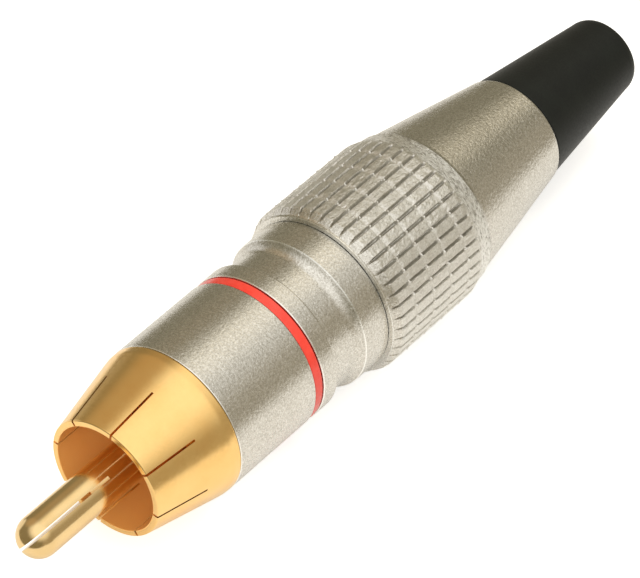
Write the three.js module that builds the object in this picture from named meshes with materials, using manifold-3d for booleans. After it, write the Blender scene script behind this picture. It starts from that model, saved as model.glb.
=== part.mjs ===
import * as THREE from 'three';
import { mergeVertices } from 'three/addons/utils/BufferGeometryUtils.js';
import Module from 'manifold-3d';

// A cable-mount phono plug lying on its side, in millimetres.
// +X runs from the tip of the centre pin to the cable end and +Z is up.
// The origin is on the floor, half way along the plug and under its axis.
// Stations run rearwards along the axis from the mouth of the contact shell.

// Centre pin
const PIN_DIAMETER = 3.2;
const PIN_REACH = 8.42;
const PIN_NOSE_LENGTH = 1.6;
const PIN_SLOT_WIDTH = 0.3;
const PIN_SLOT_LENGTH = 7.8;
const PIN_SLOT_ANGLE = 53.5;
const PIN_SHANK_DIAMETER = 2.4;
const PIN_FLANGE_DIAMETER = 5.0;
const PIN_FLANGE_LENGTH = 1.5;
const PIN_FLANGE_SETBACK = 3.4;
const CUP_DIAMETER = 3.4;
const CUP_LENGTH = 4.2;
const CUP_BORE = 2.2;
const CUP_BORE_DEPTH = 3.4;
const CUP_GAP = 2.2;

// Contact shell: the slit collar and the shank that is pressed into the barrel
const MOUTH_DIAMETER = 9.54;
const CONE_LENGTH = 6.55;
const BAND_LENGTH = 0.65;
const BAND_ROUND = 0.18;
const SHELL_BORE = 8.6;
const RIM_CHAMFER = 0.08;
const SLIT_COUNT = 8;
const SLIT_WIDTH = 0.22;
const SLIT_LENGTH = 4.25;
const SLIT_ANGLE = 36.2;
const SHANK_WALL = 0.6;
const SHANK_LENGTH = 13.0;
const STOP_BORE = 6.8;
const STOP_LENGTH = 2.0;

// Insulator
const INSULATOR_SETBACK = 8.6;

// Front barrel
const BARREL_LENGTH = 16.2;
const BARREL_EDGE = 0.08;
const RING_SETBACK = 8.2;
const RING_WIDTH = 0.85;
const RING_THICKNESS = 0.64;
const RING_RECESS = 0.06;
const GROOVE_WALL = 0.45;
const WAIST_DEPTH = 0.45;
const WAIST_SETBACK = 12.4;
const WAIST_FALL = 2.0;
const WAIST_RISE = 1.4;
const WAIST_STEPS = 4;
const NECK_RISE = 0.08;
const NECK_EDGE = 0.1;
const SPIGOT_DIAMETER = 10.6;
const SPIGOT_LENGTH = 5.0;
const SPIGOT_CHAMFER = 0.4;
const SPIGOT_BORE = 8.6;

// Ground lug
const LUG_THICKNESS = 0.5;
const LUG_RING_BORE = 7.0;
const LUG_TAB_WIDTH = 3.0;
const LUG_TAB_LENGTH = 12.5;
const CLAMP_LENGTH = 5.0;
const LUG_GAP = 0.4;
const CLAMP_OPENING = 130;
const LUG_HOLE_DIAMETER = 1.4;

// Rear shell
const COLLAR_DIAMETER = 13.94;
const COLLAR_LENGTH = 9.7;
const COLLAR_FRONT_CHAMFER = 0.8;
const COLLAR_FRONT_DROP = 0.5;
const RIB_COUNT = 44;
const RIB_HEIGHT = 0.36;
const RIB_CREST_SHARE = 0.6;
const RIB_BASE_SHARE = 0.86;
const CUT_COUNT = 4;
const CUT_WIDTH = 0.36;
const CUT_PITCH = 2.02;
const CUT_SETBACK = 2.2;
const CUT_DEPTH = 0.18;
const BRIDGE_DROP = 0.02;
const BRIDGE_SPREAD = 0.04;
const CHAMFER_LENGTH = 1.8;
const TAPER_START_DIAMETER = 13.0;
const TAPER_LENGTH = 11.1;
const TAPER_END_DIAMETER = 9.2;
const LIP_ROUND = 0.25;
const LIP_THICKNESS = 1.2;
const BOOT_HOLE = 7.0;
const CAVITY_END_DIAMETER = 7.8;

// Insulating sleeve
const SLEEVE_WALL = 0.45;
const SLEEVE_FRONT_GAP = 0.8;

// Strain relief boot
const BOOT_START_DIAMETER = 8.92;
const BOOT_END_DIAMETER = 6.35;
const BOOT_LENGTH = 11.7;
const BOOT_BORE = 5.0;
const BOOT_FLANGE_LENGTH = 1.1;
const BOOT_END_ROUND = 0.9;
const BOOT_END_INSET = 0.45;

// Clearances
const SEAT = 0.06;
const FIT = 0.05;
const RUN = 0.1;
const CUT_OVER = 1;

const ROUND_FACETS = 44;
const INNER_FACETS = 32;

// Stations of the main shoulders
const BARREL_FRONT = CONE_LENGTH + BAND_LENGTH;
const BARREL_REAR = BARREL_FRONT + BARREL_LENGTH;
const SHANK_FRONT = BARREL_FRONT;
const SHANK_REAR = SHANK_FRONT + SHANK_LENGTH;
const STOP_STATION = SHANK_REAR - STOP_LENGTH;
const LUG_FRONT = SHANK_REAR + FIT;
const LUG_REAR = LUG_FRONT + LUG_THICKNESS;
const SPIGOT_REAR = BARREL_REAR + SPIGOT_LENGTH;
const SHELL_FRONT = BARREL_REAR + SEAT;
const COLLAR_REAR = SHELL_FRONT + COLLAR_LENGTH;
const TAPER_FRONT = COLLAR_REAR + CHAMFER_LENGTH;
const SHELL_REAR = TAPER_FRONT + TAPER_LENGTH;
const LIP_FRONT = SHELL_REAR - LIP_THICKNESS;
const BOOT_FRONT = SHELL_REAR + SEAT;
const BOOT_REAR = BOOT_FRONT + BOOT_LENGTH;
const THREAD_BORE = SPIGOT_DIAMETER + 2 * RUN;

// Diameters that build up from the bore of the contact shell to the outside of the barrel
const SHANK_DIAMETER = SHELL_BORE + 2 * SHANK_WALL;
const SOCKET_DIAMETER = SHANK_DIAMETER + 2 * FIT;
const GROOVE_DIAMETER = SOCKET_DIAMETER + 2 * GROOVE_WALL;
const BARREL_DIAMETER = GROOVE_DIAMETER + 2 * (FIT + RING_THICKNESS + RING_RECESS);
const WAIST_DIAMETER = BARREL_DIAMETER - 2 * WAIST_DEPTH;
const NECK_DIAMETER = BARREL_DIAMETER + 2 * NECK_RISE;

// The lug clears the spigot's bore
const CLAMP_BORE = SPIGOT_BORE - 2 * (LUG_GAP + LUG_THICKNESS);

const CENTRE_STATION = (BOOT_REAR - PIN_REACH) / 2;
const CUT_FLOOR = COLLAR_DIAMETER / 2 - CUT_DEPTH;
const RIB_PITCH_ANGLE = (2 * Math.PI) / RIB_COUNT;
const CREST_HALF_ANGLE = (RIB_PITCH_ANGLE * RIB_CREST_SHARE) / 2;
const AXIS_HEIGHT = (COLLAR_DIAMETER / 2) * Math.cos(CREST_HALF_ANGLE);

const GOLD = { color: 0xd9a441, roughness: 0.18, metalness: 1 };
const NICKEL = { color: 0xb9b5aa, roughness: 0.35, metalness: 1 };
const RED_PLASTIC = { color: 0xe83a2c, roughness: 0.3, metalness: 0 };
const BLACK_RUBBER = { color: 0x262926, roughness: 0.8, metalness: 0 };
const WHITE_PLASTIC = { color: 0xe9e6dc, roughness: 0.5, metalness: 0 };
const CLEAR_PLASTIC = { color: 0xdad9cf, roughness: 0.35, metalness: 0 };

const wasm = await Module();
wasm.setup();

// A closed loop of [station, radius] turned about the plug's axis.
// The outer wall runs rearwards and the bore runs back to the front.
function turned(loop, facets = ROUND_FACETS) {
  const points = loop.map(([station, radius]) => new THREE.Vector2(radius, station));
  points.push(points[0].clone());
  const geometry = new THREE.LatheGeometry(points, facets);
  geometry.rotateZ(-Math.PI / 2);
  return geometry;
}

// A flat outline in the YZ plane pushed rearwards from one station to another.
function extruded(shape, front, rear) {
  const geometry = new THREE.ExtrudeGeometry(shape, { depth: rear - front, bevelEnabled: false });
  geometry.applyMatrix4(new THREE.Matrix4().set(0, 0, 1, front, 1, 0, 0, 0, 0, 1, 0, 0, 0, 0, 0, 1));
  return geometry;
}

function block(length, width, height, x, y, z) {
  const geometry = new THREE.BoxGeometry(length, width, height);
  geometry.translate(x, y, z);
  return geometry;
}

function solid(geometry) {
  const bare = geometry.clone();
  bare.deleteAttribute('normal');
  bare.deleteAttribute('uv');
  const merged = mergeVertices(bare, 1e-4);
  const triangles = [];
  const index = merged.index.array;
  for (let i = 0; i < index.length; i += 3) {
    const [a, b, c] = [index[i], index[i + 1], index[i + 2]];
    if (a !== b && b !== c && c !== a) {
      triangles.push(a, b, c);
    }
  }
  return new wasm.Manifold(new wasm.Mesh({
    numProp: 3,
    vertProperties: new Float32Array(merged.attributes.position.array),
    triVerts: new Uint32Array(triangles),
  }));
}

function geometryOf(manifold) {
  const mesh = manifold.getMesh();
  const geometry = new THREE.BufferGeometry();
  geometry.setAttribute('position', new THREE.BufferAttribute(new Float32Array(mesh.vertProperties), 3));
  geometry.setIndex(new THREE.BufferAttribute(new Uint32Array(mesh.triVerts), 1));
  return geometry;
}

// A quarter ellipse of [station, radius] points between two corners of a profile.
function quarter(from, to, bulgeAtStart, steps = 5) {
  const points = [];
  for (let i = 0; i <= steps; i += 1) {
    const turn = (Math.PI / 2) * (i / steps);
    const along = bulgeAtStart ? Math.sin(turn) : 1 - Math.cos(turn);
    const across = bulgeAtStart ? 1 - Math.cos(turn) : Math.sin(turn);
    points.push([from[0] + (to[0] - from[0]) * along, from[1] + (to[1] - from[1]) * across]);
  }
  return points;
}

function onAxis(name, geometry, finish) {
  const mesh = new THREE.Mesh(geometry, new THREE.MeshStandardMaterial(finish));
  mesh.name = name;
  return mesh;
}

// Slots across the axis, one every step degrees round it.
function slots(count, step, firstAngle, width, span, front, rear) {
  const cuts = [];
  for (let i = 0; i < count; i += 1) {
    const cut = block(rear - front, width, span, (front + rear) / 2, 0, 0);
    cut.rotateX(THREE.MathUtils.degToRad(90 - firstAngle - i * step));
    cuts.push(solid(cut));
  }
  return cuts;
}

// The pin's nose is round, its body is split lengthways and its rear is a solder cup.
function centrePin() {
  const radius = PIN_DIAMETER / 2;
  const tip = -PIN_REACH;
  const flangeFront = INSULATOR_SETBACK + PIN_FLANGE_SETBACK;
  const flangeRear = flangeFront + PIN_FLANGE_LENGTH;
  const cupFront = SHANK_REAR + STOP_LENGTH;
  const cupRear = cupFront + CUP_LENGTH;
  const cupFloor = cupRear - CUP_BORE_DEPTH;
  const body = solid(turned([
    ...quarter([tip, 0], [tip + PIN_NOSE_LENGTH, radius], false),
    [flangeFront, radius],
    [flangeFront, PIN_FLANGE_DIAMETER / 2],
    [flangeRear, PIN_FLANGE_DIAMETER / 2],
    [flangeRear, PIN_SHANK_DIAMETER / 2],
    [cupFront, PIN_SHANK_DIAMETER / 2],
    [cupFront, CUP_DIAMETER / 2],
    [cupRear, CUP_DIAMETER / 2],
    [cupRear, CUP_BORE / 2],
    [cupFloor, CUP_BORE / 2],
    [cupFloor, 0],
  ], INNER_FACETS));
  const slotFront = tip - CUT_OVER;
  const slotRear = tip + PIN_SLOT_LENGTH;
  const [split] = slots(1, 0, PIN_SLOT_ANGLE, PIN_SLOT_WIDTH, 2 * PIN_DIAMETER, slotFront, slotRear);
  const cupMiddle = (cupFloor + cupRear + CUT_OVER) / 2;
  const mouth = solid(block(CUP_BORE_DEPTH + CUT_OVER, CUP_GAP, CUP_DIAMETER, cupMiddle, 0, CUP_DIAMETER / 2));
  return onAxis('centre_pin', geometryOf(body.subtract(split).subtract(mouth)), GOLD);
}

// The insulator is moulded round the pin and its flange.
function insulator() {
  const outer = SHELL_BORE / 2 - FIT;
  const front = INSULATOR_SETBACK;
  const rear = STOP_STATION - FIT;
  const flangeFront = front + PIN_FLANGE_SETBACK - FIT;
  const flangeRear = flangeFront + PIN_FLANGE_LENGTH + 2 * FIT;
  return onAxis('insulator', turned([
    [front, outer],
    [rear, outer],
    [rear, PIN_SHANK_DIAMETER / 2 + FIT],
    [flangeRear, PIN_SHANK_DIAMETER / 2 + FIT],
    [flangeRear, PIN_FLANGE_DIAMETER / 2 + FIT],
    [flangeFront, PIN_FLANGE_DIAMETER / 2 + FIT],
    [flangeFront, PIN_DIAMETER / 2 + FIT],
    [front, PIN_DIAMETER / 2 + FIT],
  ], INNER_FACETS), WHITE_PLASTIC);
}

// The contact shell widens rearwards and its front is slit into sprung petals.
function contactShell() {
  const mouth = MOUTH_DIAMETER / 2;
  const band = BARREL_DIAMETER / 2;
  const bore = SHELL_BORE / 2;
  const shank = SHANK_DIAMETER / 2;
  const body = solid(turned([
    [0, mouth - RIM_CHAMFER],
    [RIM_CHAMFER, mouth],
    [CONE_LENGTH, band - FIT],
    [CONE_LENGTH + BAND_ROUND, band],
    [BARREL_FRONT - BAND_ROUND, band],
    [BARREL_FRONT, band - BAND_ROUND],
    [SHANK_FRONT, shank],
    [SHANK_REAR, shank],
    [SHANK_REAR, STOP_BORE / 2],
    [STOP_STATION, STOP_BORE / 2],
    [STOP_STATION, bore],
    [RIM_CHAMFER, bore],
    [0, bore + RIM_CHAMFER],
  ]));
  const step = 360 / SLIT_COUNT;
  const cuts = slots(SLIT_COUNT / 2, step, SLIT_ANGLE, SLIT_WIDTH, 2 * MOUTH_DIAMETER, -CUT_OVER, SLIT_LENGTH);
  return onAxis('contact_shell', geometryOf(cuts.reduce((whole, cut) => whole.subtract(cut), body)), GOLD);
}

// The waist of the barrel falls and rises along smooth half waves.
function waistProfile(lowStation, rearStation) {
  const high = BARREL_DIAMETER / 2;
  const low = WAIST_DIAMETER / 2;
  const neck = NECK_DIAMETER / 2;
  const points = [];
  for (let i = 0; i <= WAIST_STEPS; i += 1) {
    const share = i / WAIST_STEPS;
    const drop = (1 - Math.cos(Math.PI * share)) / 2;
    points.push([lowStation - WAIST_FALL * (1 - share), high - (high - low) * drop]);
  }
  for (let i = 1; i <= WAIST_STEPS; i += 1) {
    const share = i / WAIST_STEPS;
    const rise = 1 - Math.cos((Math.PI / 2) * share);
    points.push([lowStation + (rearStation - lowStation) * share, low + (neck - low) * rise]);
  }
  return points;
}

// The barrel carries the coloured ring in a groove and the rear shell on its spigot.
function frontBarrel() {
  const outer = BARREL_DIAMETER / 2;
  const neck = NECK_DIAMETER / 2;
  const front = BARREL_FRONT + FIT;
  const grooveFront = BARREL_FRONT + RING_SETBACK - FIT;
  const grooveRear = grooveFront + RING_WIDTH + 2 * FIT;
  const grooveFloor = GROOVE_DIAMETER / 2;
  const waistLow = BARREL_FRONT + WAIST_SETBACK;
  const waistRear = waistLow + WAIST_RISE;
  const socket = SOCKET_DIAMETER / 2;
  const stop = LUG_REAR + FIT;
  const bore = SPIGOT_BORE / 2;
  const spigot = SPIGOT_DIAMETER / 2;
  return onAxis('front_barrel', turned([
    [front, outer - BARREL_EDGE],
    [front + BARREL_EDGE, outer],
    [grooveFront, outer],
    [grooveFront, grooveFloor],
    [grooveRear, grooveFloor],
    [grooveRear, outer],
    ...waistProfile(waistLow, waistRear),
    [BARREL_REAR - NECK_EDGE, neck],
    [BARREL_REAR, neck - NECK_EDGE],
    [BARREL_REAR, spigot],
    [SPIGOT_REAR - SPIGOT_CHAMFER, spigot],
    [SPIGOT_REAR, spigot - SPIGOT_CHAMFER],
    [SPIGOT_REAR, bore],
    [stop, bore],
    [stop, socket],
    [front, socket],
  ]), NICKEL);
}

function colourRing() {
  const front = BARREL_FRONT + RING_SETBACK;
  const rear = front + RING_WIDTH;
  const inner = GROOVE_DIAMETER / 2 + FIT;
  const outer = inner + RING_THICKNESS;
  return onAxis('colour_ring', turned([[front, outer], [rear, outer], [rear, inner], [front, inner]]), RED_PLASTIC);
}

// The lug is one stamping: a ring gripped behind the shank, a tab, and a clamp for the cable.
function groundLug() {
  const ring = solid(turned([
    [LUG_FRONT, SHANK_DIAMETER / 2],
    [LUG_REAR, SHANK_DIAMETER / 2],
    [LUG_REAR, LUG_RING_BORE / 2],
    [LUG_FRONT, LUG_RING_BORE / 2],
  ]));
  const clampOuter = CLAMP_BORE / 2 + LUG_THICKNESS;
  const clampFront = LUG_FRONT + LUG_TAB_LENGTH;
  const clampRear = clampFront + CLAMP_LENGTH;
  const tabMiddle = (LUG_FRONT + clampRear) / 2;
  const tabHeight = -(CLAMP_BORE + LUG_THICKNESS) / 2;
  const tab = solid(block(clampRear - LUG_FRONT, LUG_TAB_WIDTH, LUG_THICKNESS, tabMiddle, 0, tabHeight));
  const half = THREE.MathUtils.degToRad(CLAMP_OPENING / 2);
  const arc = new THREE.Shape();
  arc.absarc(0, 0, clampOuter, Math.PI / 2 + half, Math.PI / 2 - half + 2 * Math.PI, false);
  arc.absarc(0, 0, CLAMP_BORE / 2, Math.PI / 2 - half + 2 * Math.PI, Math.PI / 2 + half, true);
  const clamp = solid(extruded(arc, clampFront, clampRear));
  const hole = new THREE.CylinderGeometry(LUG_HOLE_DIAMETER / 2, LUG_HOLE_DIAMETER / 2, 4 * LUG_THICKNESS, 16);
  hole.rotateX(Math.PI / 2);
  hole.translate(SPIGOT_REAR + LUG_HOLE_DIAMETER, 0, tabHeight);
  return onAxis('ground_lug', geometryOf(ring.add(tab).add(clamp).subtract(solid(hole))), GOLD);
}

// One ribbed outline serves every row of ribs: flat crests with sloping flanks.
function ribbedOutline() {
  const crest = COLLAR_DIAMETER / 2;
  const root = crest - RIB_HEIGHT;
  const shape = new THREE.Shape();
  const corners = [
    [-RIB_BASE_SHARE, root],
    [-RIB_CREST_SHARE, crest],
    [RIB_CREST_SHARE, crest],
    [RIB_BASE_SHARE, root],
  ];
  for (let rib = 0; rib < RIB_COUNT; rib += 1) {
    for (const [share, radius] of corners) {
      const angle = (rib + share / 2) * RIB_PITCH_ANGLE;
      const x = radius * Math.cos(angle);
      const y = radius * Math.sin(angle);
      if (rib === 0 && share === -RIB_BASE_SHARE) {
        shape.moveTo(x, y);
      } else {
        shape.lineTo(x, y);
      }
    }
  }
  shape.closePath();
  return shape;
}

// The rear shell's facets meet in the middle of the valleys between its ribs.
function turnedShell(loop) {
  const geometry = turned(loop, RIB_COUNT);
  geometry.rotateX(RIB_PITCH_ANGLE / 2);
  return solid(geometry);
}

// A disc with a flat over each valley.
function disc(front, rear, radius) {
  return solid(turned([[front, 0], [front, radius], [rear, radius], [rear, 0]], RIB_COUNT));
}

// Ring cuts part the ribs of the collar into rows, each cut from one station to another.
function ringCuts() {
  return Array.from({ length: CUT_COUNT }, (_, i) => {
    const front = SHELL_FRONT + CUT_SETBACK + i * CUT_PITCH;
    return [front, front + CUT_WIDTH];
  });
}

// The outline of the rear shell before its ribs are formed, with the ring cuts turned in it.
function shellProfile() {
  const crest = COLLAR_DIAMETER / 2;
  const taperFront = TAPER_START_DIAMETER / 2;
  const taperRear = TAPER_END_DIAMETER / 2;
  const over = crest + FIT;
  const frontRun = COLLAR_FRONT_CHAMFER * (1 + FIT / COLLAR_FRONT_DROP);
  const rearRun = CHAMFER_LENGTH * (1 + FIT / (crest - taperFront));
  return [
    [SHELL_FRONT, crest - COLLAR_FRONT_DROP],
    [SHELL_FRONT + frontRun, over],
    ...ringCuts().flatMap(([front, rear]) => [[front, over], [front, CUT_FLOOR], [rear, CUT_FLOOR], [rear, over]]),
    [TAPER_FRONT - rearRun, over],
    [TAPER_FRONT, taperFront],
    ...quarter([SHELL_REAR - LIP_ROUND, taperRear], [SHELL_REAR, taperRear - LIP_ROUND], true, 3),
    [SHELL_REAR, 0],
    [SHELL_FRONT, 0],
  ];
}

// The rear shell is one turned piece: collar, chamfer and long taper.
// The valleys between the ribs stop at the rear of the collar, and a bridge crosses them in each ring cut.
function rearShell() {
  const ribs = solid(extruded(ribbedOutline(), SHELL_FRONT - CUT_OVER, COLLAR_REAR + CUT_OVER));
  const plain = disc(COLLAR_REAR, SHELL_REAR + CUT_OVER, COLLAR_DIAMETER / 2 + CUT_OVER);
  const ribbed = turnedShell(shellProfile()).intersect(ribs.add(plain));
  const bridges = ringCuts().map(
    ([front, rear]) => disc(front - BRIDGE_SPREAD, rear + BRIDGE_SPREAD, CUT_FLOOR - BRIDGE_DROP),
  );
  const bridged = bridges.reduce((whole, bridge) => whole.add(bridge), ribbed);
  return onAxis('rear_shell', geometryOf(bridged.subtract(turnedShell(cavityLoop()))), NICKEL);
}

// The bore of the rear shell: threaded front, straight middle, taper and a hole for the boot.
function cavityLoop() {
  const bore = THREAD_BORE / 2;
  return [
    [SHELL_FRONT - CUT_OVER, bore],
    [TAPER_FRONT, bore],
    [LIP_FRONT, CAVITY_END_DIAMETER / 2],
    [LIP_FRONT, BOOT_HOLE / 2],
    [SHELL_REAR + CUT_OVER, BOOT_HOLE / 2],
    [SHELL_REAR + CUT_OVER, 0],
    [SHELL_FRONT - CUT_OVER, 0],
  ];
}

// The radius of the cavity's taper at a station.
function cavityRadius(station) {
  const share = Math.max(0, (station - TAPER_FRONT) / (LIP_FRONT - TAPER_FRONT));
  return THREE.MathUtils.lerp(THREAD_BORE / 2, CAVITY_END_DIAMETER / 2, share);
}

// The sleeve lines the cavity behind the spigot and keeps the joints off the metal.
function insulatingSleeve() {
  const front = SPIGOT_REAR + SLEEVE_FRONT_GAP;
  const rear = LIP_FRONT - BOOT_FLANGE_LENGTH - 2 * RUN;
  const outer = (station) => cavityRadius(station) - RUN;
  return onAxis('insulating_sleeve', turned([
    [front, outer(front)],
    [TAPER_FRONT, outer(TAPER_FRONT)],
    [rear, outer(rear)],
    [rear, outer(rear) - SLEEVE_WALL],
    [TAPER_FRONT, outer(TAPER_FRONT) - SLEEVE_WALL],
    [front, outer(front) - SLEEVE_WALL],
  ], INNER_FACETS), CLEAR_PLASTIC);
}

// The boot snaps into the shell's rear hole: flange inside, neck in the hole, taper outside.
function strainReliefBoot() {
  const flangeFront = LIP_FRONT - BOOT_FLANGE_LENGTH - RUN;
  const flange = CAVITY_END_DIAMETER / 2 - RUN;
  const neck = BOOT_HOLE / 2 - RUN;
  const start = BOOT_START_DIAMETER / 2;
  const end = BOOT_END_DIAMETER / 2;
  const bore = BOOT_BORE / 2;
  const roundFront = BOOT_REAR - BOOT_END_ROUND;
  return onAxis('strain_relief_boot', turned([
    [flangeFront, flange],
    [LIP_FRONT - RUN, flange],
    [LIP_FRONT - RUN, neck],
    [BOOT_FRONT, neck],
    [BOOT_FRONT, start],
    ...quarter([roundFront, end], [BOOT_REAR, end - BOOT_END_INSET], true, 4),
    [BOOT_REAR, bore],
    [flangeFront, bore],
  ]), BLACK_RUBBER);
}

const group = new THREE.Group();
group.name = 'phono_plug';
group.position.set(-CENTRE_STATION, 0, AXIS_HEIGHT);
group.add(
  centrePin(),
  insulator(),
  contactShell(),
  frontBarrel(),
  colourRing(),
  groundLug(),
  rearShell(),
  insulatingSleeve(),
  strainReliefBoot(),
);
group.updateMatrixWorld(true);

export default group;
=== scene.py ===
import math

import bmesh
import bpy
from mathutils import Matrix, Vector

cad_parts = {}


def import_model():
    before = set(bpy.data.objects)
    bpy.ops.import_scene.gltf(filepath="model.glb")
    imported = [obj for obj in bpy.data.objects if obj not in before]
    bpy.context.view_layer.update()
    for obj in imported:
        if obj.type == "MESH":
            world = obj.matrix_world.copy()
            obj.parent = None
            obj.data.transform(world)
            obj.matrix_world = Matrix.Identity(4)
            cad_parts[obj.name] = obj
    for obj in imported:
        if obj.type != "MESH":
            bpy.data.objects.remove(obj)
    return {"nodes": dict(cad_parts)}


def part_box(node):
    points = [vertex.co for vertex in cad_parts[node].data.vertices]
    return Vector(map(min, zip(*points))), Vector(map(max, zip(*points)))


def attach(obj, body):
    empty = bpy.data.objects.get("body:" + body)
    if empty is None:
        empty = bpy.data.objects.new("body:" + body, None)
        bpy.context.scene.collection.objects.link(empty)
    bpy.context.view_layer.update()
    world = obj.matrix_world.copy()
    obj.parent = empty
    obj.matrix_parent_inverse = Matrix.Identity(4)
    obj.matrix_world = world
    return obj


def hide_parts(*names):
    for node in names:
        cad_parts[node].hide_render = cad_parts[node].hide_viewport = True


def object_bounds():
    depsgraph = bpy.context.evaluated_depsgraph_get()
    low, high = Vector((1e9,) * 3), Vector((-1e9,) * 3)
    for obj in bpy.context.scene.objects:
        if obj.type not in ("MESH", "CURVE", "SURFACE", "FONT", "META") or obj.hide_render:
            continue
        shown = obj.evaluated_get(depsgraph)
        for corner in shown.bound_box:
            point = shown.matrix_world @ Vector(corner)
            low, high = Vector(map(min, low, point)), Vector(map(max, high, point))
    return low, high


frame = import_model()
cad_low, cad_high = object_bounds()

# Lengths are in millimetres, and world_point() turns them into metres. Angles are in degrees.
# A station is a distance along the plug's axis, rearwards from the mouth of the contact shell.
MM = 0.001
MOUTH_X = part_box("contact_shell")[0].x
AXIS_Z = (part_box("front_barrel")[0].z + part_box("front_barrel")[1].z) / 2


def station_of(node, side):
    """The station of a node's front (side 0) or rear (side 1)."""
    return (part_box(node)[side].x - MOUTH_X) / MM


def radius_of(node):
    """The outer radius of a node."""
    low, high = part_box(node)
    return (high.y - low.y) / 2 / MM


# Stations and radii that the frame gives
SHELL_FRONT = station_of("rear_shell", 0)
SHELL_REAR = station_of("rear_shell", 1)
SPIGOT_REAR = station_of("front_barrel", 1)
BOOT_FLANGE = station_of("strain_relief_boot", 0)
BOOT_REAR = station_of("strain_relief_boot", 1)
SHANK_REAR = station_of("contact_shell", 1)
RING_FRONT = station_of("colour_ring", 0)
RING_REAR = station_of("colour_ring", 1)
BAND_RADIUS = radius_of("contact_shell")
NECK_RADIUS = radius_of("front_barrel")
RING_RADIUS = radius_of("colour_ring")

# Centre pin
PIN_TIP = -8.42
PIN_RADIUS = 1.6
PIN_NOSE = 1.6
PIN_SLOT_WIDTH = 0.24
PIN_SLOT_LENGTH = 7.8
PIN_SLOT_ANGLE = 53.5
FLANGE_FRONT = 12.0
FLANGE_REAR = 13.5
FLANGE_RADIUS = 2.5
STEM_RADIUS = 1.2
CUP_FRONT = SHANK_REAR + 2.0
CUP_LENGTH = 4.2
CUP_RADIUS = 1.7
CUP_BORE = 1.1
CUP_FLOOR = 0.8

# Contact shell
MOUTH_RADIUS = 4.77
CONE_REAR = 6.55
CONE_DROP = 0.03  # from the band's radius to the rear of the cone
BAND_REAR = 7.2
SHELL_BORE_RADIUS = 4.3
SHANK_RADIUS = 4.9
SHANK_LIP_RADIUS = 3.4
SHANK_LIP_LENGTH = 2.0
SLIT_COUNT = 8
SLIT_WIDTH = 0.17
SLIT_LENGTH = 4.25
SLIT_ANGLE = 36.2
SAW_OVERRUN = 1.0  # how far a saw cut starts ahead of the metal
SAW_HEIGHT = 8.0  # of the pin's saw cut, well above its diameter

# Front barrel
BARREL_FRONT = BAND_REAR + 0.02
BARREL_BORE = 4.95
BARREL_REAR = 23.43
GROOVE_FRONT = RING_FRONT - 0.04
GROOVE_REAR = RING_REAR + 0.04
GROOVE_RADIUS = BAND_RADIUS - 0.75
WAIST_FRONT = 17.8
WAIST_WALL = 0.2
WAIST_RUN_REAR = 19.7
WAIST_RISE_FRONT = 20.0
WAIST_REAR = 21.0
WAIST_RADIUS = 5.72
WAIST_CURVE = 2.2
NECK_BEVEL = 0.14
SPIGOT_STEP = 20.85
SPIGOT_RADIUS = 5.3
SPIGOT_BORE = 4.3
THREAD_PITCH = 0.75
THREAD_DEPTH = 0.28
THREAD_ROOT = SPIGOT_RADIUS - THREAD_DEPTH
THREAD_MARGIN = 0.35  # plain metal at each end of the thread
THREAD_STEPS = 72  # a turn
THREAD_FADE = 3  # the thread runs out over a turn divided by this
# The ridge's section, in shares of the pitch along the axis and heights above the root
THREAD_SECTION = ((-0.36, -0.04), (-0.08, THREAD_DEPTH - 0.02), (0.08, THREAD_DEPTH - 0.02), (0.36, -0.04))

# Rear shell: its ribbed collar
CREST_RADIUS = 6.97
COLLAR_REAR = SHELL_FRONT + 9.7
FRONT_CHAMFER = 0.8
FRONT_DROP = 0.5
RIB_COUNT = 44
RIB_HEIGHT = 0.36
RIB_CREST_SHARE = 0.73
RIB_BASE_SHARE = 0.96
RIB_TURN = -1.2
RIB_MARKS = (0.42, 0.58, 0.7, 0.76, 0.82, 0.87, 0.92, 0.96)  # shares of a rib's half width
VALLEY_RAMP = 0.3
CUT_COUNT = 4
CUT_WIDTH = 0.36
CUT_PITCH = 2.02
CUT_SETBACK = 2.2
CUT_DEPTH = 0.08
CUT_WALL = 0.08
CUT_SLOPE_END = CUT_WIDTH + 0.14
CUT_FRONTS = [SHELL_FRONT + CUT_SETBACK + i * CUT_PITCH for i in range(CUT_COUNT)]
BEAD_MIDDLE = CUT_WIDTH / 2 + 0.04
BEAD_LENGTH = 0.18
BEAD_SPREAD = 0.42
BEAD_TOP = 0.09

# Rear shell: behind the collar
TAPER_FRONT = COLLAR_REAR + 1.8
TAPER_FRONT_RADIUS = 6.5
TAPER_REAR_RADIUS = 4.6
TAPER_EDGE = ((0.05, 0.003), (0.3, 0.045))  # distance behind the taper's front, and fall
TAPER_MIDDLE = 5.5
LIP_ROUND = 0.25
LIP_FRONT = SHELL_REAR - 1.2
BOOT_HOLE_RADIUS = 3.5
THREAD_BORE_RADIUS = 5.4
CAVITY_END_RADIUS = 3.9

# Boot
BOOT_START = SHELL_REAR + 0.06
BOOT_START_RADIUS = 4.46
BOOT_END_RADIUS = 3.175
BOOT_END_LENGTH = 0.9
BOOT_END_DROP = 0.45
BOOT_BORE_RADIUS = 2.5
BOOT_NECK_RADIUS = 3.4
BOOT_FLANGE_RADIUS = 3.8
BOOT_FLANGE_GAP = 0.1

# Meshing
ROUND_STEPS = 256
PIN_STEPS = 128
BOOT_STEPS = 192
SHARP_ANGLE = 32
BARREL_SHARP_ANGLE = 17
SHELL_SHARP_ANGLE = 38
FILLET_STEPS = 8
FILLET_REACH = 0.45  # the most that a fillet takes of a side
SUPPORT = 0.03  # from a fillet to the loop that keeps the straight run beside it flat


def place(mesh_object, body, node=None):
    """Puts a piece on its body, in place of its CAD node."""
    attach(mesh_object, body)
    if node:
        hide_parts(node)
    return mesh_object


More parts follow.
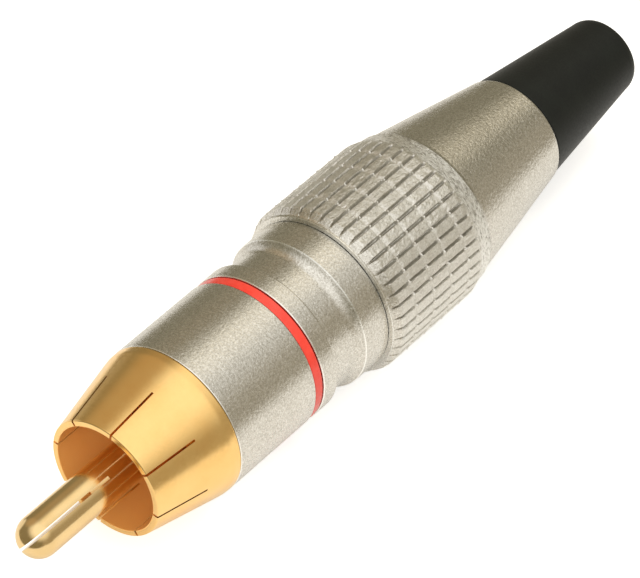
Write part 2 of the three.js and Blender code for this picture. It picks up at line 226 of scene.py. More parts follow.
def eased(profile):
    """Rounds the corners of a closed profile of (station, radius) or (station, radius, fillet)."""
    out = []
    for i, point in enumerate(profile):
        if len(point) == 2:
            out.append(point)
            continue
        here = Vector(point[:2])
        to_before = Vector(profile[i - 1][:2]) - here
        to_after = Vector(profile[(i + 1) % len(profile)][:2]) - here
        reach = min(point[2], FILLET_REACH * to_before.length, FILLET_REACH * to_after.length)
        start = here + to_before.normalized() * reach
        end = here + to_after.normalized() * reach
        if to_before.length > 3 * reach:
            out.append(tuple(start + to_before.normalized() * SUPPORT))
        for k in range(FILLET_STEPS):
            t = k / (FILLET_STEPS - 1)
            out.append(tuple(start * (1 - t) ** 2 + here * 2 * t * (1 - t) + end * t * t))
        if to_after.length > 3 * reach:
            out.append(tuple(end + to_after.normalized() * SUPPORT))
    return out


def quarter(start, end, bulge_first, steps=12):
    """A quarter ellipse between two corners of a profile."""
    points = []
    for i in range(steps + 1):
        turn = math.pi / 2 * i / steps
        along = math.sin(turn) if bulge_first else 1 - math.cos(turn)
        across = 1 - math.cos(turn) if bulge_first else math.sin(turn)
        points.append((start[0] + (end[0] - start[0]) * along, start[1] + (end[1] - start[1]) * across))
    return points


def world_point(station, radius, angle):
    """A point at an angle (in radians) from -Y towards +Z round the axis, in metres."""
    return Vector((
        MOUTH_X + station * MM,
        -radius * MM * math.cos(angle),
        AXIS_Z + radius * MM * math.sin(angle),
    ))


def shade(mesh, sharp_angle=SHARP_ANGLE):
    """Smooths a mesh, apart from its sharp edges."""
    mesh.polygons.foreach_set("use_smooth", [True] * len(mesh.polygons))
    mesh.set_sharp_from_angle(angle=math.radians(sharp_angle))


def new_object(name, bm, sharp_angle=SHARP_ANGLE):
    """Makes an object of a finished bmesh."""
    bmesh.ops.recalc_face_normals(bm, faces=bm.faces)
    mesh = bpy.data.meshes.new(name)
    bm.to_mesh(mesh)
    bm.free()
    shade(mesh, sharp_angle)
    made = bpy.data.objects.new(name, mesh)
    bpy.context.scene.collection.objects.link(made)
    return made


def join_rings(bm, a, b):
    """Faces between two rings of vertices, either of which may be a single vertex."""
    steps = max(len(a), len(b))
    if steps == 1:
        return
    for k in range(steps):
        n = (k + 1) % steps
        if len(a) == 1:
            bm.faces.new((a[0], b[k], b[n]))
        elif len(b) == 1:
            bm.faces.new((a[k], b[0], a[n]))
        else:
            bm.faces.new((a[k], b[k], b[n], a[n]))


def lathe(name, profile, steps=ROUND_STEPS, closed=True, sharp_angle=SHARP_ANGLE):
    """Turns a profile of (station, radius) about the axis."""
    bm = bmesh.new()
    rings = []
    for station, radius in profile:
        count = steps if radius > 1e-6 else 1
        turns = [2 * math.pi * k / steps for k in range(count)]
        rings.append([bm.verts.new(world_point(station, radius, turn)) for turn in turns])
    for a, b in zip(rings, rings[1:]):
        join_rings(bm, a, b)
    if closed:
        join_rings(bm, rings[-1], rings[0])
    return new_object(name, bm, sharp_angle)


def saw_cut(target, angle, width, height, front, rear):
    """Cuts one slot right across the axis from a front station to a rear one."""
    bpy.ops.mesh.primitive_cube_add(size=1)
    cutter = bpy.context.active_object
    turn = math.radians(90 - angle)
    middle = Vector((MOUTH_X + (front + rear) / 2 * MM, 0, AXIS_Z))
    size = Matrix.Diagonal(((rear - front) * MM, width * MM, height * MM, 1))
    cutter.matrix_world = Matrix.Translation(middle) @ Matrix.Rotation(turn, 4, "X") @ size
    cut = target.modifiers.new("slot", "BOOLEAN")
    cut.operation = "DIFFERENCE"
    cut.solver = "EXACT"
    cut.object = cutter
    bpy.context.view_layer.update()
    depsgraph = bpy.context.evaluated_depsgraph_get()
    baked = bpy.data.meshes.new_from_object(target.evaluated_get(depsgraph))
    target.modifiers.clear()
    target.data = baked
    bpy.data.objects.remove(cutter, do_unlink=True)
    shade(target.data)


def centre_pin():
    nose = quarter((PIN_TIP, 0), (PIN_TIP + PIN_NOSE, PIN_RADIUS), False, 20)
    cup_rear = CUP_FRONT + CUP_LENGTH
    profile = nose + [
        (FLANGE_FRONT, PIN_RADIUS),
        (FLANGE_FRONT, FLANGE_RADIUS),
        (FLANGE_REAR, FLANGE_RADIUS),
        (FLANGE_REAR, STEM_RADIUS),
        (CUP_FRONT, STEM_RADIUS),
        (CUP_FRONT, CUP_RADIUS),
        (cup_rear, CUP_RADIUS),
        (cup_rear, CUP_BORE),
        (CUP_FRONT + CUP_FLOOR, CUP_BORE),
        (CUP_FRONT + CUP_FLOOR, 0),
    ]
    pin = lathe("pin_turned", profile, PIN_STEPS, closed=False)
    slot_front, slot_rear = PIN_TIP - SAW_OVERRUN, PIN_TIP + PIN_SLOT_LENGTH
    saw_cut(pin, PIN_SLOT_ANGLE, PIN_SLOT_WIDTH, SAW_HEIGHT, slot_front, slot_rear)
    return place(pin, "plug_body", "centre_pin")


def contact_shell():
    profile = eased([
        (0, SHELL_BORE_RADIUS, 0.05),
        (0, MOUTH_RADIUS, 0.1),
        (CONE_REAR, BAND_RADIUS - CONE_DROP, 0.15),
        (BAND_REAR, BAND_RADIUS, 0.1),
        (BAND_REAR, SHANK_RADIUS, 0.05),
        (SHANK_REAR, SHANK_RADIUS),
        (SHANK_REAR, SHANK_LIP_RADIUS),
        (SHANK_REAR - SHANK_LIP_LENGTH, SHANK_LIP_RADIUS),
        (SHANK_REAR - SHANK_LIP_LENGTH, SHELL_BORE_RADIUS),
    ])
    shell = lathe("shell_slit", profile)
    for i in range(SLIT_COUNT // 2):  # each saw cut makes two slits, one on each side of the mouth
        angle = SLIT_ANGLE + i * 360 / SLIT_COUNT
        saw_cut(shell, angle, SLIT_WIDTH, 4 * MOUTH_RADIUS, -SAW_OVERRUN, SLIT_LENGTH)
    return place(shell, "plug_body", "contact_shell")


def waist_profile(steps=14):
    """The waist steps down, runs straight and curves up to the bright bevel of the neck."""
    points = [
        (WAIST_FRONT, BAND_RADIUS, 0.08),
        (WAIST_FRONT + WAIST_WALL, WAIST_RADIUS, 0.1),
        (WAIST_RUN_REAR, WAIST_RADIUS),
    ]
    length = WAIST_REAR - NECK_BEVEL - WAIST_RISE_FRONT
    top = NECK_RADIUS - NECK_BEVEL / 2
    rise = top - 0.05 - WAIST_RADIUS
    for i in range(steps + 1):
        share = i / steps
        points.append((WAIST_RISE_FRONT + length * share, WAIST_RADIUS + rise * share ** WAIST_CURVE))
    points += [
        (WAIST_REAR - 0.6 * NECK_BEVEL, top),
        (WAIST_REAR, NECK_RADIUS),
        (WAIST_REAR + SUPPORT, NECK_RADIUS),
    ]
    return points


def front_barrel():
    profile = eased([
        (BARREL_FRONT, BARREL_BORE),
        (BARREL_FRONT, BAND_RADIUS, 0.07),
        (GROOVE_FRONT, BAND_RADIUS, 0.05),
        (GROOVE_FRONT, GROOVE_RADIUS),
        (GROOVE_REAR, GROOVE_RADIUS),
        (GROOVE_REAR, BAND_RADIUS, 0.07),
        *waist_profile(),
        (BARREL_REAR, NECK_RADIUS, 0.04),
        (BARREL_REAR, THREAD_ROOT),
        (SPIGOT_REAR, THREAD_ROOT, 0.1),
        (SPIGOT_REAR, SPIGOT_BORE),
        (SPIGOT_STEP, SPIGOT_BORE),
        (SPIGOT_STEP, BARREL_BORE),
    ])
    barrel = lathe("barrel_turned", profile, sharp_angle=BARREL_SHARP_ANGLE)
    return place(barrel, "plug_body", "front_barrel")


def spigot_thread():
    """A fine helical ridge round the spigot, which shows once the shell is unscrewed."""
    bm = bmesh.new()
    front = BARREL_REAR + THREAD_MARGIN
    turns = (SPIGOT_REAR - THREAD_MARGIN - front) / THREAD_PITCH
    rows = []
    for k in range(int(turns * THREAD_STEPS) + 1):
        turn = k / THREAD_STEPS
        fade = max(0.0, min(1, turn * THREAD_FADE, (turns - turn) * THREAD_FADE))
        row = []
        for share, height in THREAD_SECTION:
            station = front + turn * THREAD_PITCH + share * THREAD_PITCH
            radius = THREAD_ROOT + (height if height < 0 else height * fade)
            row.append(bm.verts.new(world_point(station, radius, -2 * math.pi * turn)))
        rows.append(row)
    count = len(THREAD_SECTION)
    for a, b in zip(rows, rows[1:]):
        for j in range(count):
            n = (j + 1) % count
            bm.faces.new((a[j], a[n], b[n], b[j]))
    bm.faces.new(rows[0])
    bm.faces.new(rows[-1])
    return place(new_object("spigot_thread", bm), "plug_body")


def colour_ring():
    inner_radius = GROOVE_RADIUS + 0.03
    profile = eased([
        (RING_FRONT, inner_radius),
        (RING_FRONT, RING_RADIUS, 0.12),
        (RING_REAR, RING_RADIUS, 0.12),
        (RING_REAR, inner_radius),
    ])
    return place(lathe("ring_moulded", profile), "plug_body", "colour_ring")


def smooth_step(low, high, value):
    """Zero below a low value, one above a high one, with a smooth rise between them."""
    t = min(1.0, max(0.0, (value - low) / (high - low)))
    return t * t * (3 - 2 * t)


def envelope_radius(station):
    """The turned blank's outer radius along the collar and the chamfer behind it."""
    from_front = station - SHELL_FRONT
    past_collar = station - COLLAR_REAR
    if from_front < FRONT_CHAMFER:
        return CREST_RADIUS - FRONT_DROP * (1 - from_front / FRONT_CHAMFER)
    if past_collar > 0:
        return CREST_RADIUS - (CREST_RADIUS - TAPER_FRONT_RADIUS) * past_collar / (TAPER_FRONT - COLLAR_REAR)
    return CREST_RADIUS


def cut_share(station):
    """One at the foot of a ring cut's steep front wall, falling to zero up its long rear slope."""
    share = 0.0
    for front in CUT_FRONTS:
        past = station - front
        slope = 1 - smooth_step(CUT_WALL, CUT_SLOPE_END, past)
        share = max(share, smooth_step(0.0, CUT_WALL, past) * slope)
    return share


def bead_share(station):
    """One in the middle of a ring cut, falling off on both sides."""
    return max(math.exp(-((station - front - BEAD_MIDDLE) / BEAD_LENGTH) ** 2) for front in CUT_FRONTS)


def collar_stations():
    """Stations along the collar and its chamfers, close together where the surface turns."""
    chamfer = (0, 0.04, 0.12, 0.22, 0.34, 0.5, 0.65, 0.74, 0.8, 0.86, 1.1, 1.5, 1.9)
    cut = (-0.1, 0.0, 0.03, 0.05, 0.08, 0.12, 0.17, 0.22, 0.27, 0.32, 0.37, 0.42, 0.47, 0.5)
    ramp = (-0.04, 0.0, 0.05, 0.1, 0.16, 0.23, VALLEY_RAMP)
    stations = [SHELL_FRONT + x for x in chamfer]
    for front, row_rear in zip(CUT_FRONTS, CUT_FRONTS[1:] + [COLLAR_REAR]):
        stations += [front + x for x in cut]
        stations += [front + (row_rear - front) * share for share in (0.4, 0.6, 0.8)]
    stations += [COLLAR_REAR + x for x in ramp]
    stations += [COLLAR_REAR + (TAPER_FRONT - COLLAR_REAR) * share for share in (0.3, 0.5, 0.7, 0.9, 0.97)]
    return sorted(set(stations))


def rib_angles():
    """Angles round the collar, in radians, with the height shares of the rib and of a bead there."""
    angles = []
    for rib in range(RIB_COUNT):
        for mark in (-1.0, *(-m for m in reversed(RIB_MARKS)), *RIB_MARKS):
            angle = (2 * rib + mark) * math.pi / RIB_COUNT + math.radians(RIB_TURN)
            height = 1 - smooth_step(RIB_CREST_SHARE - 0.03, RIB_BASE_SHARE, abs(mark))
            bead = math.exp(-((1 - abs(mark)) / BEAD_SPREAD) ** 2)
            angles.append((angle, height, bead))
    return angles


def rib_radius(station, height, bead):
    """Crests and valleys, with a round bead where a ring cut crosses a valley."""
    blank = envelope_radius(station)
    root = CREST_RADIUS - RIB_HEIGHT
    fill = smooth_step(COLLAR_REAR - 0.04, COLLAR_REAR + VALLEY_RAMP, station)
    ribbed = min(root + RIB_HEIGHT * height, blank)
    ribbed += (blank - ribbed) * fill
    ribbed -= CUT_DEPTH * cut_share(station) * height
    return max(ribbed, root + (RIB_HEIGHT + BEAD_TOP) * bead_share(station) * bead)


def rear_shell():
    """The ribbed collar, its chamfer and the long taper, in one skin."""
    angles = rib_angles()
    rings = [
        [(station, rib_radius(station, height, bead), angle) for angle, height, bead in angles]
        for station in collar_stations()
    ]
    lip_start = (SHELL_REAR - LIP_ROUND, TAPER_REAR_RADIUS)
    lip_end = (SHELL_REAR, TAPER_REAR_RADIUS - LIP_ROUND)
    turned = [
        *((TAPER_FRONT + past, TAPER_FRONT_RADIUS - fall) for past, fall in TAPER_EDGE),
        (TAPER_FRONT + TAPER_MIDDLE, (TAPER_FRONT_RADIUS + TAPER_REAR_RADIUS) / 2),
        *quarter(lip_start, lip_end, True, 7),
        (SHELL_REAR, BOOT_HOLE_RADIUS),
        (LIP_FRONT, BOOT_HOLE_RADIUS),
        (LIP_FRONT, CAVITY_END_RADIUS),
        (TAPER_FRONT, THREAD_BORE_RADIUS),
        (SHELL_FRONT, THREAD_BORE_RADIUS),
    ]
    rings += [[(*point, angle) for angle, height, bead in angles] for point in turned]
    bm = bmesh.new()
    verts = [[bm.verts.new(world_point(*point)) for point in ring] for ring in rings]
    for a, b in zip(verts, verts[1:] + verts[:1]):
        join_rings(bm, a, b)
    shell = new_object("shell_ribbed", bm, SHELL_SHARP_ANGLE)
    return place(shell, "shell", "rear_shell")


def boot():
    groove_front = LIP_FRONT - BOOT_FLANGE_GAP
    end_front = (BOOT_REAR - BOOT_END_LENGTH, BOOT_END_RADIUS)
    profile = eased([
        (BOOT_FLANGE, BOOT_BORE_RADIUS),
        (BOOT_FLANGE, BOOT_FLANGE_RADIUS, 0.1),
        (groove_front, BOOT_FLANGE_RADIUS, 0.1),
        (groove_front, BOOT_NECK_RADIUS),
        (BOOT_START, BOOT_NECK_RADIUS),
        (BOOT_START, BOOT_START_RADIUS, 0.12),
        *quarter(end_front, (BOOT_REAR, BOOT_END_RADIUS - BOOT_END_DROP), True),
        (BOOT_REAR, BOOT_BORE_RADIUS, 0.15),
    ])
    made = lathe("boot_moulded", profile, BOOT_STEPS)
    return place(made, "boot", "strain_relief_boot")


def plug(tree, value, socket):
    """Links an output to a socket, or gives the socket a value."""
    if isinstance(value, bpy.types.NodeSocket):
        tree.links.new(value, socket)
    else:
        socket.default_value = value


def add_node(tree, kind, **inputs):
    """A new node. Its inputs go by their names, with an underscore for each space."""
    made = tree.nodes.new(kind)
    for name, value in inputs.items():
        plug(tree, value, made.inputs[name.replace("_", " ")])
    return made


class Finish:
    """A procedural material built on one Principled shader."""

    def __init__(self, name, **values):
        self.material = bpy.data.materials.new(name)
        self.material.use_nodes = True
        self.tree = self.material.node_tree
        self.shader = self.tree.nodes["Principled BSDF"]
        self.coordinates = self.tree.nodes.new("ShaderNodeTexCoord").outputs["Object"]
        self.feed(**values)

    def feed(self, **values):
        """Links or sets inputs of the shader."""
        for name, value in values.items():
            plug(self.tree, value, self.shader.inputs[name.replace("_", " ")])

    def noise(self, scale, detail, roughness=0.55, stretch=None):
        """Noise with so many features a metre."""
        source = self.coordinates
        if stretch:
            mapping = add_node(self.tree, "ShaderNodeMapping", Vector=source, Scale=stretch)
            source = mapping.outputs["Vector"]
        node = add_node(
            self.tree, "ShaderNodeTexNoise", Vector=source, Scale=scale, Detail=detail, Roughness=roughness,
        )
        return node.outputs["Fac"]

    def ramp(self, source, stops):
        """A colour ramp of (position, colour)."""
        node = add_node(self.tree, "ShaderNodeValToRGB", Fac=source)
        elements = node.color_ramp.elements
        while len(elements) < len(stops):
            elements.new(0.5)
        for element, (position, colour) in zip(elements, stops):
            element.position = position
            element.color = (*colour, 1)
        return node.outputs["Color"]

    def mottle(self, scale, detail, low, high):
        """Soft clouds of two colours."""
        return self.ramp(self.noise(scale, detail), [(0.3, low), (0.7, high)])

    def range(self, source, low, high, from_low=0.3, from_high=0.7):
        """Maps a range of values to the range from low to high."""
        node = add_node(
            self.tree, "ShaderNodeMapRange", Value=source,
            From_Min=from_low, From_Max=from_high, To_Min=low, To_Max=high,
        )
        return node.outputs["Result"]

    def math(self, operation, first, second):
        node = self.tree.nodes.new("ShaderNodeMath")
        node.operation = operation
        plug(self.tree, first, node.inputs[0])
        plug(self.tree, second, node.inputs[1])
        return node.outputs["Value"]

    def mix(self, factor, colour, other):
        """Moves a colour towards another one, which may be a plain one."""
        if isinstance(other, tuple):
            other = (*other, 1)
        node = add_node(self.tree, "ShaderNodeMixRGB", Fac=factor, Color1=colour, Color2=other)
        return node.outputs["Color"]

    def along(self, front, rear, fade):
        """One between two stations of the plug and zero outside them."""
        split = add_node(self.tree, "ShaderNodeSeparateXYZ", Vector=self.coordinates)
        x = [MOUTH_X + station * MM for station in (front - fade, front + fade, rear - fade, rear + fade)]
        rise = self.range(split.outputs["X"], 0, 1, x[0], x[1])
        fall = self.range(split.outputs["X"], 1, 0, x[2], x[3])
        return self.math("MULTIPLY", rise, fall)

    def by_radius(self, low, high, low_radius, high_radius):
        """Goes from low to high between two distances from the plug's axis."""
        split = add_node(self.tree, "ShaderNodeSeparateXYZ", Vector=self.coordinates)
        height = self.math("SUBTRACT", split.outputs["Z"], AXIS_Z)
        across = self.math("POWER", split.outputs["Y"], 2)
        squares = self.math("ADD", across, self.math("POWER", height, 2))
        return self.range(self.math("SQRT", squares, 0), low, high, low_radius * MM, high_radius * MM)

    def painted_crevice_shade(self, colour, dark, distance=0.4):
        """Painted shade: darkens a colour where the surface is closed in."""
        crevice_shade = add_node(self.tree, "ShaderNodeAmbientOcclusion", Distance=distance * MM)
        crevice_shade.samples = 8
        factor = self.range(crevice_shade.outputs["AO"], dark, 1.0, 0.25, 0.85)
        scale = self.tree.nodes.new("ShaderNodeVectorMath")
        scale.operation = "SCALE"
        plug(self.tree, colour, scale.inputs[0])
        plug(self.tree, factor, scale.inputs["Scale"])
        return scale.outputs["Vector"]

    def bump(self, source, strength, height, below=None):
        """Relief so many millimetres high, on top of the relief below it."""
        node = add_node(
            self.tree, "ShaderNodeBump", Height=source, Strength=strength, Distance=height * MM,
        )
        if below:
            plug(self.tree, below, node.inputs["Normal"])
        return node.outputs["Normal"]


# Noise scales, in features a metre
CLOUD_SCALE = 500
POLISH_SCALE = 5200
SPECK_SCALE = 7400
GRAIN_SCALE = 4300
LINE_SCALE = 5200
SCUFF_SCALE = 2600
SCRATCH_SCALE = 6000
RED_CLOUD_SCALE = 1500
RED_GRAIN_SCALE = 4000
RUBBER_CLOUD_SCALE = 700
RUBBER_GRAIN_SCALE = 6500
PLASTIC_CLOUD_SCALE = 800
PLASTIC_GRAIN_SCALE = 5000

# Colours of the plating, and of the light and shade painted on it, as linear RGB
# painted light: the deeper orange of light bounced about inside the contact shell's bore
PAINTED_BORE_BOUNCE = (1.0, 0.5, 0.13)
GRAIN_TONES = [(0.3, (0.5, 0.475, 0.425)), (0.5, (0.68, 0.65, 0.59)), (0.7, (0.88, 0.86, 0.81))]
SCRATCH_TONES = [(0.36, (0.36, 0.34, 0.3)), (0.46, (0.8, 0.78, 0.73)), (0.56, (1.0, 0.99, 0.95))]
# painted highlight on thin lines along the edges
PAINTED_EDGE_HIGHLIGHT = (0.98, 0.97, 0.93)
# painted highlights on the ribs' crests and on the beads in the ring cuts
PAINTED_CREST_HIGHLIGHT = (0.95, 0.94, 0.9)
PAINTED_BEAD_HIGHLIGHT = (1.0, 0.99, 0.96)


def gold(name, low, high, rough=(0.17, 0.27), bore=None):
    """Gold plating, matt inside a bore if its radius is given, where a painted deeper orange stands in for
    light bounced about the bore.
    """
    finish = Finish(name, Metallic=1.0)
    grain = finish.noise(POLISH_SCALE, 2)
    colour = finish.mottle(CLOUD_SCALE, 2, low, high)
    roughness = finish.range(grain, *rough)
    if bore:
        # Inside the bore the colour moves towards a painted deeper orange that stands in for light thrown
        # back and forth there, and the metal goes matt.
        inside = finish.by_radius(1.0, 0.0, bore - 0.02, bore + 0.1)
        colour = finish.mix(inside, colour, PAINTED_BORE_BOUNCE)
        roughness = finish.math("ADD", roughness, finish.math("MULTIPLY", inside, 0.3))
        finish.feed(Metallic=finish.math("SUBTRACT", 1.0, finish.math("MULTIPLY", inside, 0.9)))
    relief = finish.bump(grain, strength=0.1, height=0.01)
    finish.feed(Base_Color=colour, Roughness=roughness, Normal=relief)
    return finish.material


def rib_highlights(finish, colour, ribbed):
    """Paints highlights: lightens the crests of the ribs a little and the beads in the ring cuts a lot."""
    crest = finish.by_radius(0.28, 0.4, CREST_RADIUS - 0.25, CREST_RADIUS + BEAD_TOP)
    colour = finish.mix(finish.math("MULTIPLY", crest, finish.along(*ribbed, 0.1)), colour, PAINTED_CREST_HIGHLIGHT)
    bead = finish.by_radius(0.0, 1.0, CREST_RADIUS - 0.005, CREST_RADIUS + 0.035)
    for front in CUT_FRONTS:
        cut = finish.along(front + CUT_WALL, front + CUT_WIDTH + 0.04, 0.04)
        colour = finish.mix(finish.math("MULTIPLY", cut, bead), colour, PAINTED_BEAD_HIGHLIGHT)
    return colour


def nickel(name, blasted, crevice_shade, painted_highlight_lines, ribbed=None, scratched=None):
    """Satin nickel: blasted grains, faint turned lines, painted highlight lines along edges, ribs with
    painted highlights, painted shade in crevices and a scratched band.

    The highlight lines, ribbed and scratched are front and rear stations; the crevice shade is how dark the
    painted shade in crevices goes.
    """
    finish = Finish(name, Metallic=1.0)
    speck = finish.noise(SPECK_SCALE, 2, 0.75)
    grain = finish.noise(GRAIN_SCALE, 2, 0.6)
    lines = finish.noise(LINE_SCALE, 2, 0.5, stretch=(1.0, 0.0, 0.0))
    colour = finish.ramp(speck, GRAIN_TONES)
    roughness = finish.range(grain, 0.2, 0.34)
    relief = finish.bump(lines, strength=0.15, height=0.02)
    relief = finish.bump(grain, strength=0.42 * blasted, height=0.04, below=relief)
    relief = finish.bump(speck, strength=0.5 * blasted, height=0.02, below=relief)
    # painted highlight: thin bright lines along the edges, where the light catches them
    for front, rear in painted_highlight_lines:
        colour = finish.mix(finish.along(front, rear, 0.02), colour, PAINTED_EDGE_HIGHLIGHT)
    if ribbed:
        # painted highlights on the crests and beads of the ribs
        colour = rib_highlights(finish, colour, ribbed)
        duller = finish.math("MULTIPLY", finish.along(*ribbed, 0.2), 0.15)
        roughness = finish.math("ADD", roughness, duller)
        scuffs = finish.noise(SCUFF_SCALE, 3, 0.7, stretch=(0.6, 1.0, 1.0))
        scuffed = finish.math("MULTIPLY", finish.along(*ribbed, 0.1), 0.8)
        relief = finish.bump(scuffs, strength=scuffed, height=0.18, below=relief)
    if scratched:
        band = finish.along(*scratched, 0.15)
        swirl = finish.noise(SCRATCH_SCALE, 4, 0.75, stretch=(1.0, 0.4, 0.4))
        colour = finish.mix(band, colour, finish.ramp(swirl, SCRATCH_TONES))
        roughness = finish.math("ADD", roughness, finish.math("MULTIPLY", band, 0.06))
        relief = finish.bump(swirl, strength=band, height=0.16, below=relief)
    # the base colour carries painted shade in crevices, valleys and seams
    finish.feed(Base_Color=finish.painted_crevice_shade(colour, crevice_shade), Roughness=roughness, Normal=relief)
    return finish.material


def red_plastic():
    finish = Finish("ring_red", Roughness=0.25)
    colour = finish.mottle(RED_CLOUD_SCALE, 2, (0.86, 0.055, 0.035), (0.92, 0.075, 0.05))
    relief = finish.bump(finish.noise(RED_GRAIN_SCALE, 2), strength=0.08, height=0.02)
    finish.feed(Base_Color=colour, Normal=relief)
    return finish.material


def black_rubber():
    finish = Finish("boot_rubber", Specular_IOR_Level=0.3, Sheen_Weight=0.12, Sheen_Roughness=0.35)
    grain = finish.noise(RUBBER_GRAIN_SCALE, 2)
    colour = finish.mottle(RUBBER_CLOUD_SCALE, 3, (0.005, 0.006, 0.005), (0.007, 0.009, 0.007))
    roughness = finish.range(grain, 0.5, 0.62)
    relief = finish.bump(grain, strength=0.2, height=0.03)
    finish.feed(Base_Color=colour, Roughness=roughness, Normal=relief)
    return finish.material


def plastic(name, low, high, roughness):
    finish = Finish(name, Roughness=roughness)
    colour = finish.mottle(PLASTIC_CLOUD_SCALE, 3, low, high)
    relief = finish.bump(finish.noise(PLASTIC_GRAIN_SCALE, 2), strength=0.1, height=0.02)
    finish.feed(Base_Color=colour, Normal=relief)
    return finish.material


def dress(target, material):
    """Gives a piece its material."""
    target.data.materials.clear()
    target.data.materials.append(material)


def dress_node(node, material):
    """Gives a CAD node, which stays as it is, its material."""
    target = frame["nodes"][node]
    if not target.material_slots:
        target.data.materials.append(material)
    for material_slot in target.material_slots:
        material_slot.link = "OBJECT"
        material_slot.material = material


# Camera: the photograph's viewing angle, fitted to the plug's outline. DISTANCE is in metres.
HEADING = 51.1
ELEVATION = 43.46
DISTANCE = 0.3081
AIM = Vector((MOUTH_X + 23.955 * MM, 0.42 * MM, AXIS_Z))
LENS = 241.9
SENSOR = 36.0


def aimed(position, direction):
    """The matrix of a camera or a lamp at a position that looks in a direction."""
    return Matrix.Translation(position) @ direction.to_track_quat("-Z", "Y").to_matrix().to_4x4()


def camera():
    heading = math.radians(HEADING)
    elevation = math.radians(ELEVATION)
    forward = Vector((
        math.sin(heading) * math.cos(elevation),
        math.cos(heading) * math.cos(elevation),
        -math.sin(elevation),
    ))
    data = bpy.data.cameras.new("camera")
    data.lens = LENS
    data.sensor_width = SENSOR
    data.clip_start = 0.01
    made = bpy.data.objects.new("camera", data)
    made.matrix_world = aimed(AIM - forward * DISTANCE, forward)
    bpy.context.scene.collection.objects.link(made)
    bpy.context.scene.camera = made


def softbox(name, towards, distance, size, power, colour):
    """A soft square lamp that looks at the plug from a direction, with its distance and size in metres."""
    direction = Vector(towards).normalized()
    data = bpy.data.lights.new(name, "AREA")
    data.shape = "RECTANGLE"
    data.size = size
    data.size_y = size
    data.energy = power
    data.color = colour
    made = bpy.data.objects.new(name, data)
    made.matrix_world = aimed(direction * distance, -direction)
    made.visible_glossy = False  # the metal reflects the studio's glows instead
    bpy.context.scene.collection.objects.link(made)


def lights():
    softbox("key", (0.3, -0.15, 0.92), distance=0.7, size=0.3, power=1.0, colour=(1.0, 0.98, 0.94))
    softbox("front", (-0.85, -0.25, 0.42), distance=0.5, size=0.2, power=1.1, colour=(1.0, 0.98, 0.95))


# The studio round the plug: a dim, warm room with soft glows, fitted to the photo's reflections.
# Each glow has its direction, the angle within which it is full, the angle where it ends, and its colour.
ROOM = (0.272, 0.247, 0.174)
GLOWS = [
    ((0.346, -0.921, -0.179), 42.2, 59.8, (0.427, 0.383, 0.293)),
    ((0.629, -0.005, 0.778), 1, 23.2, (1.153, 1.038, 0.794)),
    ((-0.154, -0.289, 0.945), 17.4, 64.9, (1.215, 1.2, 1.15)),
    ((0.13, 0.695, 0.707), 1.3, 32.1, (0.481, 0.388, 0.263)),
    ((0.038, 0.999, -0.003), 12.6, 18.6, (0.913, 0.889, 0.85)),
]


def world():
    """The studio lights the plug, and the camera sees plain white behind it."""
    made = bpy.data.worlds.new("studio")
    made.use_nodes = True
    tree = made.node_tree
    direction = tree.nodes.new("ShaderNodeTexCoord").outputs["Generated"]
    colour = (*ROOM, 1)
    for towards, inner, outer, tint in GLOWS:
        dot = tree.nodes.new("ShaderNodeVectorMath")
        dot.operation = "DOT_PRODUCT"
        plug(tree, direction, dot.inputs[0])
        plug(tree, Vector(towards).normalized(), dot.inputs[1])
        fade = add_node(
            tree, "ShaderNodeMapRange", Value=dot.outputs["Value"],
            From_Min=math.cos(math.radians(outer)), From_Max=math.cos(math.radians(inner)),
        )
        fade.interpolation_type = "SMOOTHSTEP"
        mix = add_node(
            tree, "ShaderNodeMixRGB", Fac=fade.outputs["Result"], Color1=colour, Color2=(*tint, 1),
        )
        colour = mix.outputs["Color"]
    room = tree.nodes["Background"]
    plug(tree, colour, room.inputs["Color"])
    white = add_node(tree, "ShaderNodeBackground", Color=(1, 1, 1, 1))
    path = tree.nodes.new("ShaderNodeLightPath")
    choose = add_node(tree, "ShaderNodeMixShader", Fac=path.outputs["Is Camera Ray"])
    plug(tree, room.outputs["Background"], choose.inputs[1])
    plug(tree, white.outputs["Background"], choose.inputs[2])
    plug(tree, choose.outputs["Shader"], tree.nodes["World Output"].inputs["Surface"])
    bpy.context.scene.world = made


FLOOR_SIZE = 0.1  # metres
FLOOR_COLOUR = (0.8, 0.79, 0.77, 1)
FLOOR_LIFT = 0.6  # what the camera sees on top of the lit floor, so that it comes out white
FLOOR_GLOSSY_LIFT = 0.15  # what the metal's reflections see on top of it


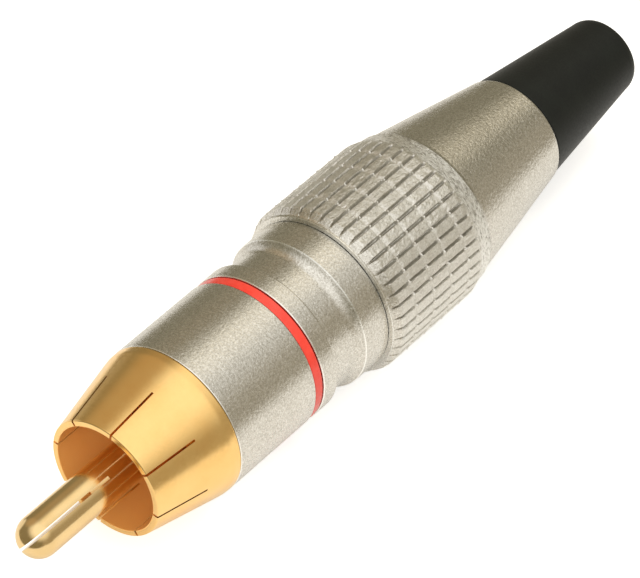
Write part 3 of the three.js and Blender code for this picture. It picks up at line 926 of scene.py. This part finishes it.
def floor():
    """A pale floor that keeps the plug's shadow."""
    bpy.ops.mesh.primitive_plane_add(size=FLOOR_SIZE, location=(0, 0, cad_low.z))
    made = bpy.context.active_object
    made.name = "floor"
    material = bpy.data.materials.new("floor_white")
    material.use_nodes = True
    tree = material.node_tree
    shader = tree.nodes["Principled BSDF"]
    shader.inputs["Base Color"].default_value = FLOOR_COLOUR
    shader.inputs["Roughness"].default_value = 0.9
    shader.inputs["Specular IOR Level"].default_value = 0.0
    path = tree.nodes.new("ShaderNodeLightPath")
    glossy = tree.nodes.new("ShaderNodeMath")
    glossy.operation = "MULTIPLY"
    plug(tree, path.outputs["Is Glossy Ray"], glossy.inputs[0])
    plug(tree, FLOOR_GLOSSY_LIFT, glossy.inputs[1])
    strength = tree.nodes.new("ShaderNodeMath")
    strength.operation = "MULTIPLY_ADD"
    plug(tree, path.outputs["Is Camera Ray"], strength.inputs[0])
    plug(tree, FLOOR_LIFT, strength.inputs[1])
    plug(tree, glossy.outputs["Value"], strength.inputs[2])
    lift = add_node(tree, "ShaderNodeEmission", Strength=strength.outputs["Value"])
    both = tree.nodes.new("ShaderNodeAddShader")
    plug(tree, shader.outputs["BSDF"], both.inputs[0])
    plug(tree, lift.outputs["Emission"], both.inputs[1])
    plug(tree, both.outputs["Shader"], tree.nodes["Material Output"].inputs["Surface"])
    made.data.materials.append(material)


camera()
lights()
world()
floor()

shell_gold = gold("gold_polished", (0.98, 0.62, 0.23), (1.0, 0.67, 0.27), bore=SHELL_BORE_RADIUS)
pin_gold = gold("gold_pale", (0.84, 0.6, 0.29), (0.9, 0.66, 0.34), rough=(0.13, 0.2))
lug_gold = gold("gold_lug", (0.85, 0.56, 0.23), (0.9, 0.62, 0.28), rough=(0.2, 0.32))
barrel_nickel = nickel(
    "nickel_satin", blasted=1.0, crevice_shade=0.5,
    # painted highlight lines along the edges
    painted_highlight_lines=(
        (BAND_REAR, BAND_REAR + 0.1),
        (RING_REAR + 0.02, RING_REAR + 0.14),
        (WAIST_REAR - 0.07, WAIST_REAR),
        (BARREL_REAR - 0.08, BARREL_REAR),
    ),
)
shell_nickel = nickel(
    "nickel_blasted", blasted=1.6, crevice_shade=0.85,
    painted_highlight_lines=((SHELL_FRONT, SHELL_FRONT + 0.06), (SHELL_REAR - 0.13, SHELL_REAR)),
    ribbed=(SHELL_FRONT + FRONT_CHAMFER, COLLAR_REAR + VALLEY_RAMP),
    scratched=(COLLAR_REAR + VALLEY_RAMP, TAPER_FRONT),
)
insulator_white = plastic("insulator_white", (0.72, 0.7, 0.64), (0.8, 0.78, 0.72), 0.45)
sleeve_milky = plastic("sleeve_milky", (0.66, 0.66, 0.62), (0.74, 0.74, 0.7), 0.4)

dress(centre_pin(), pin_gold)
dress(contact_shell(), shell_gold)
dress(front_barrel(), barrel_nickel)
dress(spigot_thread(), barrel_nickel)
dress(colour_ring(), red_plastic())
dress(rear_shell(), shell_nickel)
dress(boot(), black_rubber())
dress_node("insulator", insulator_white)
dress_node("insulating_sleeve", sleeve_milky)
dress_node("ground_lug", lug_gold)

bpy.context.scene.view_settings.view_transform = "Standard"
